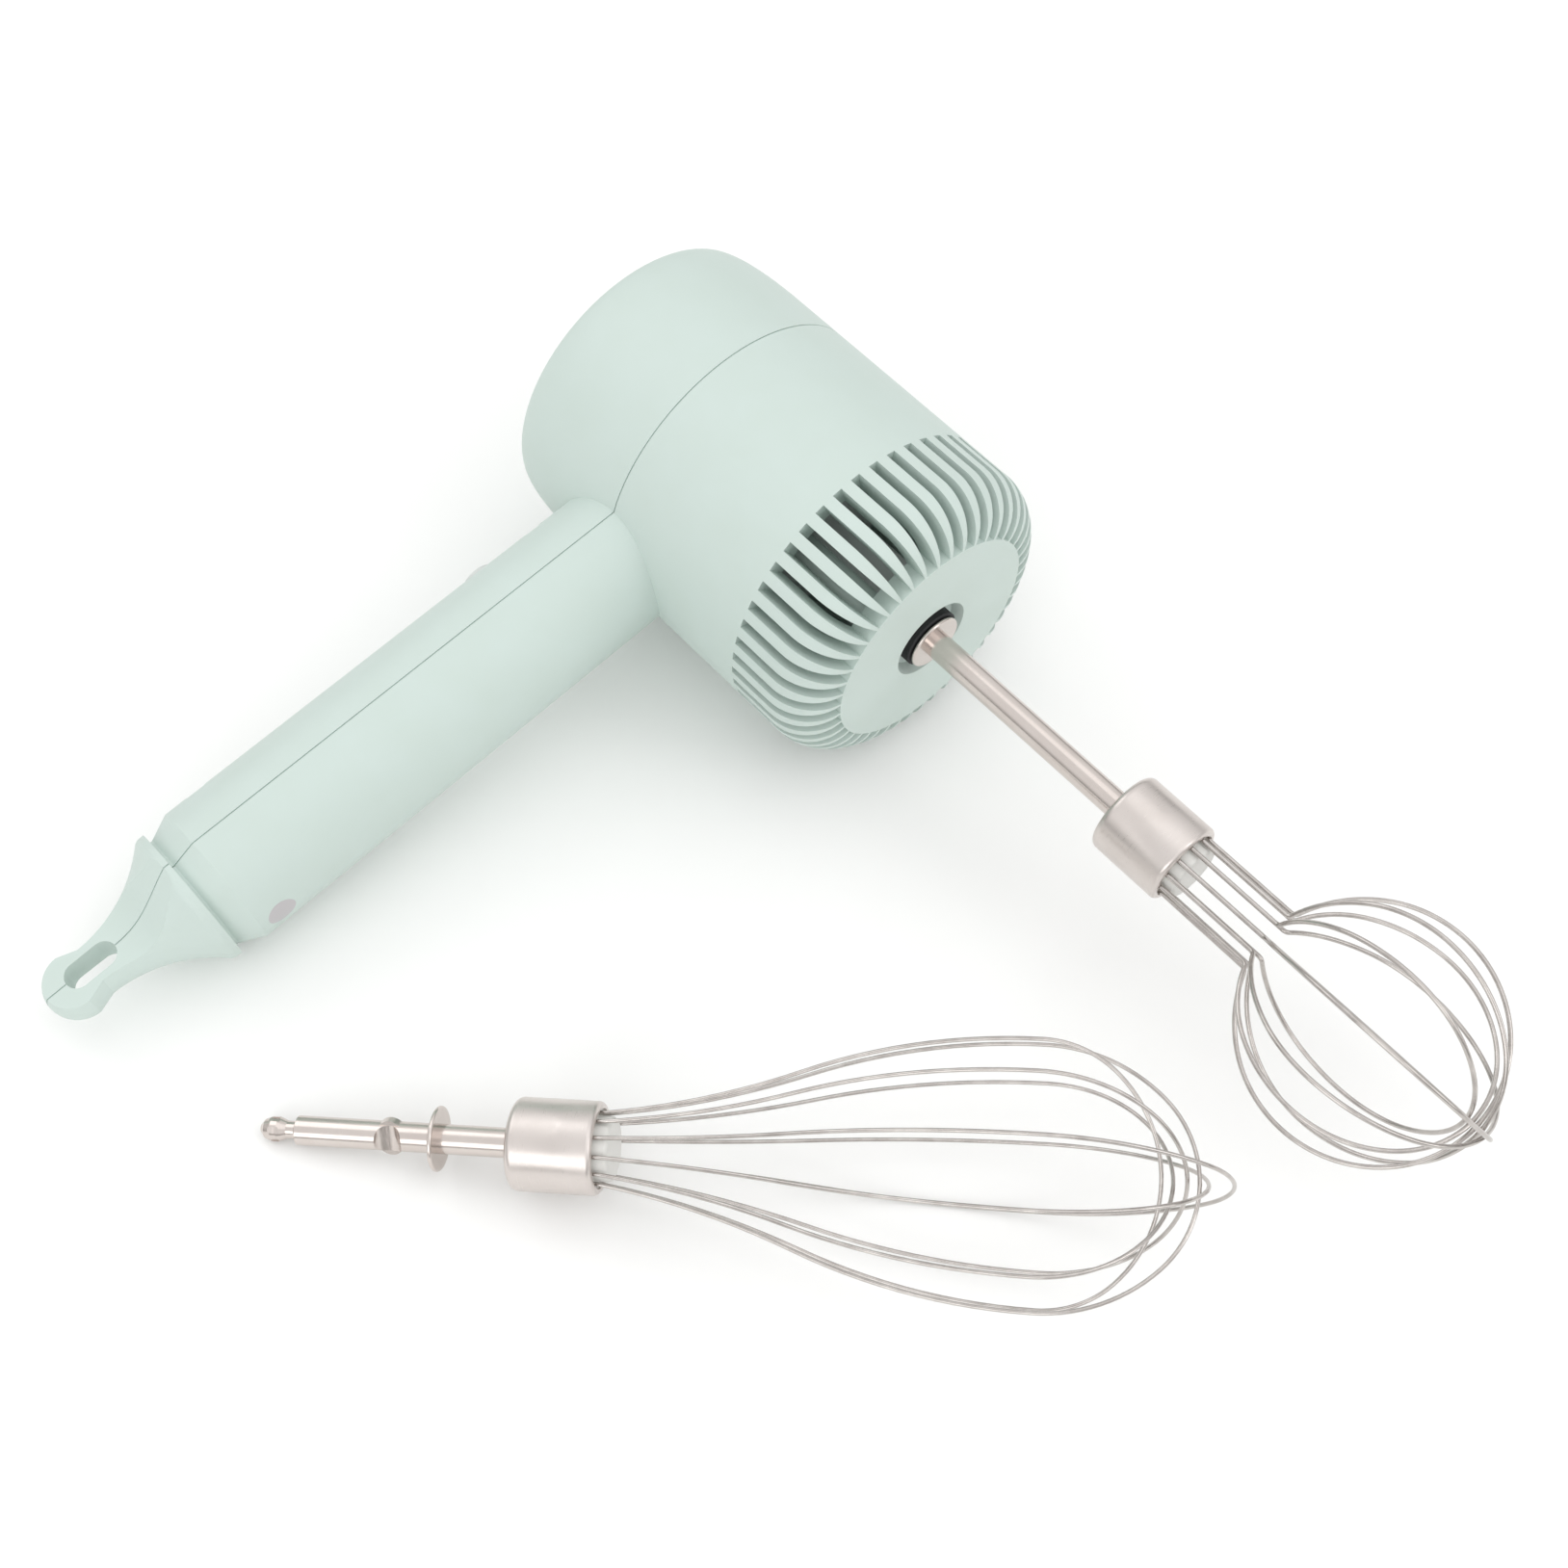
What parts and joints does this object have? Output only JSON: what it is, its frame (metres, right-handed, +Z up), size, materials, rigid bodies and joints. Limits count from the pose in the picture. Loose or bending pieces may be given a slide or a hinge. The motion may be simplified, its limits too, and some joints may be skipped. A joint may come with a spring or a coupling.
{
  "type": "hand mixer",
  "caption": "Cordless hand mixer lying on its side: round finned head, straight handle with a hanging loop, a ball whisk fitted and a balloon whisk beside it.",
  "frame": {"origin": "on the table, straight below the head's axis, in the plane where the two shells meet", "axes": "+X along the head's axis towards the whisk, +Z up from the table, the handle towards -Y"},
  "size_m": [0.238, 0.212, 0.07],
  "materials": {
    "mint_abs": "satin moulded ABS",
    "black_rubber": "moulded rubber",
    "grey_lens": "frosted polycarbonate",
    "clear_lens": "clear polycarbonate",
    "grey_button": "satin",
    "board_green": "solder mask",
    "chip_black": "epoxy",
    "led_white": "epoxy lens",
    "cell_wrap": "shrink sleeve",
    "nickel": "nickel strip",
    "lead_insulation": "PVC insulation",
    "stainless": "polished stainless steel",
    "satin_stainless": "brushed stainless steel",
    "zinc_plated_steel": "zinc plated",
    "motor_steel": "deep-drawn, plated",
    "magnet": "sintered ferrite",
    "silicon_steel": "laminated",
    "copper": "enamelled wire",
    "carbon": "pressed carbon",
    "bronze": "sintered bronze",
    "acetal": "moulded acetal",
    "grey_nylon": "glass-filled nylon",
    "white_plug": "moulded polypropylene"
  },
  "bodies": {
    "housing": {"front_shell": "mint_abs", "rear_shell": "mint_abs", "socket_seal": "black_rubber", "charge_light_window": "grey_lens", "indicator_leds": "led_white", "speed_light_pipes": "clear_lens", "control_board": "board_green", "board_components": "chip_black", "button_switch": "chip_black", "charge_port": "stainless", "shell_screws": "zinc_plated_steel", "screw_plugs": "mint_abs", "battery_cell": "cell_wrap", "cell_tabs": "nickel", "internal_leads": "lead_insulation", "motor_can": "motor_steel", "motor_end_cap": "grey_nylon", "motor_magnets": "magnet", "motor_bushes": "bronze", "motor_brush_gear": "carbon", "motor_damper": "black_rubber", "ring_gear": "acetal", "gearbox_case": "grey_nylon", "gearbox_cover": "grey_nylon", "gearbox_screws": "zinc_plated_steel", "spindle_bushes": "bronze"},
    "rotor": {"motor_shaft": "zinc_plated_steel", "armature_core": "silicon_steel", "armature_windings": "copper", "commutator": "copper", "sun_pinion": "zinc_plated_steel"},
    "spindle": {"planet_carrier": "grey_nylon", "planet_pins": "zinc_plated_steel", "output_spindle": "satin_stainless", "grip_ring": "black_rubber", "spindle_clip": "zinc_plated_steel"},
    "planet_1": {"planet_gear_1": "acetal"},
    "planet_2": {"planet_gear_2": "acetal"},
    "planet_3": {"planet_gear_3": "acetal"},
    "button": {"power_button": "grey_button"},
    "ball_whisk": {"ball_whisk_shank": "stainless", "ball_whisk_stop_ring": "stainless", "ball_whisk_collar": "satin_stainless", "ball_whisk_plug": "white_plug", "ball_whisk_loop_1": "stainless", "ball_whisk_loop_2": "stainless", "ball_whisk_loop_3": "stainless", "ball_whisk_loop_4": "stainless", "ball_whisk_loop_5": "stainless", "ball_whisk_loop_6": "stainless"},
    "balloon_whisk": {"balloon_whisk_shank": "stainless", "balloon_whisk_stop_ring": "stainless", "balloon_whisk_collar": "satin_stainless", "balloon_whisk_plug": "white_plug", "balloon_whisk_loop_1": "stainless", "balloon_whisk_loop_2": "stainless", "balloon_whisk_loop_3": "stainless", "balloon_whisk_loop_4": "stainless", "balloon_whisk_loop_5": "stainless", "balloon_whisk_loop_6": "stainless"}
  },
  "joints": [
    {"name": "spindle_spin", "type": "hinge", "parent": "housing", "child": "spindle", "pos_m": [0.05, 0, 0.035], "axis": [1, 0, 0], "continuous": true},
    {"name": "rotor_spin", "type": "hinge", "parent": "housing", "child": "rotor", "pos_m": [0, 0, 0.035], "axis": [1, 0, 0], "continuous": true},
    {"name": "planet_1_spin", "type": "hinge", "parent": "spindle", "child": "planet_1", "pos_m": [0.0135, -0.00802, 0.03388], "axis": [1, 0, 0], "continuous": true},
    {"name": "planet_2_spin", "type": "hinge", "parent": "spindle", "child": "planet_2", "pos_m": [0.0135, 0.00498, 0.02861], "axis": [1, 0, 0], "continuous": true},
    {"name": "planet_3_spin", "type": "hinge", "parent": "spindle", "child": "planet_3", "pos_m": [0.0135, 0.00304, 0.04251], "axis": [1, 0, 0], "continuous": true},
    {"name": "button_press", "type": "slide", "parent": "housing", "child": "button", "axis": [1, 0, 0], "range_m": [0, 0.0008], "stiffness_N_per_m": 2500},
    {"name": "ball_whisk_pull", "type": "slide", "parent": "spindle", "child": "ball_whisk", "axis": [1, 0, 0], "range_m": [0, 0.04]},
    {"name": "balloon_whisk_lift", "type": "slide", "parent": "housing", "child": "balloon_whisk", "axis": [0, 0, 1], "range_m": [0, 0.1]}
  ],
  "couplings": [
    {"joint": "rotor_spin", "follows": "spindle_spin", "ratio": 4.5},
    {"joint": "planet_1_spin", "follows": "spindle_spin", "ratio": -2.8},
    {"joint": "planet_2_spin", "follows": "spindle_spin", "ratio": -2.8},
    {"joint": "planet_3_spin", "follows": "spindle_spin", "ratio": -2.8}
  ]
}
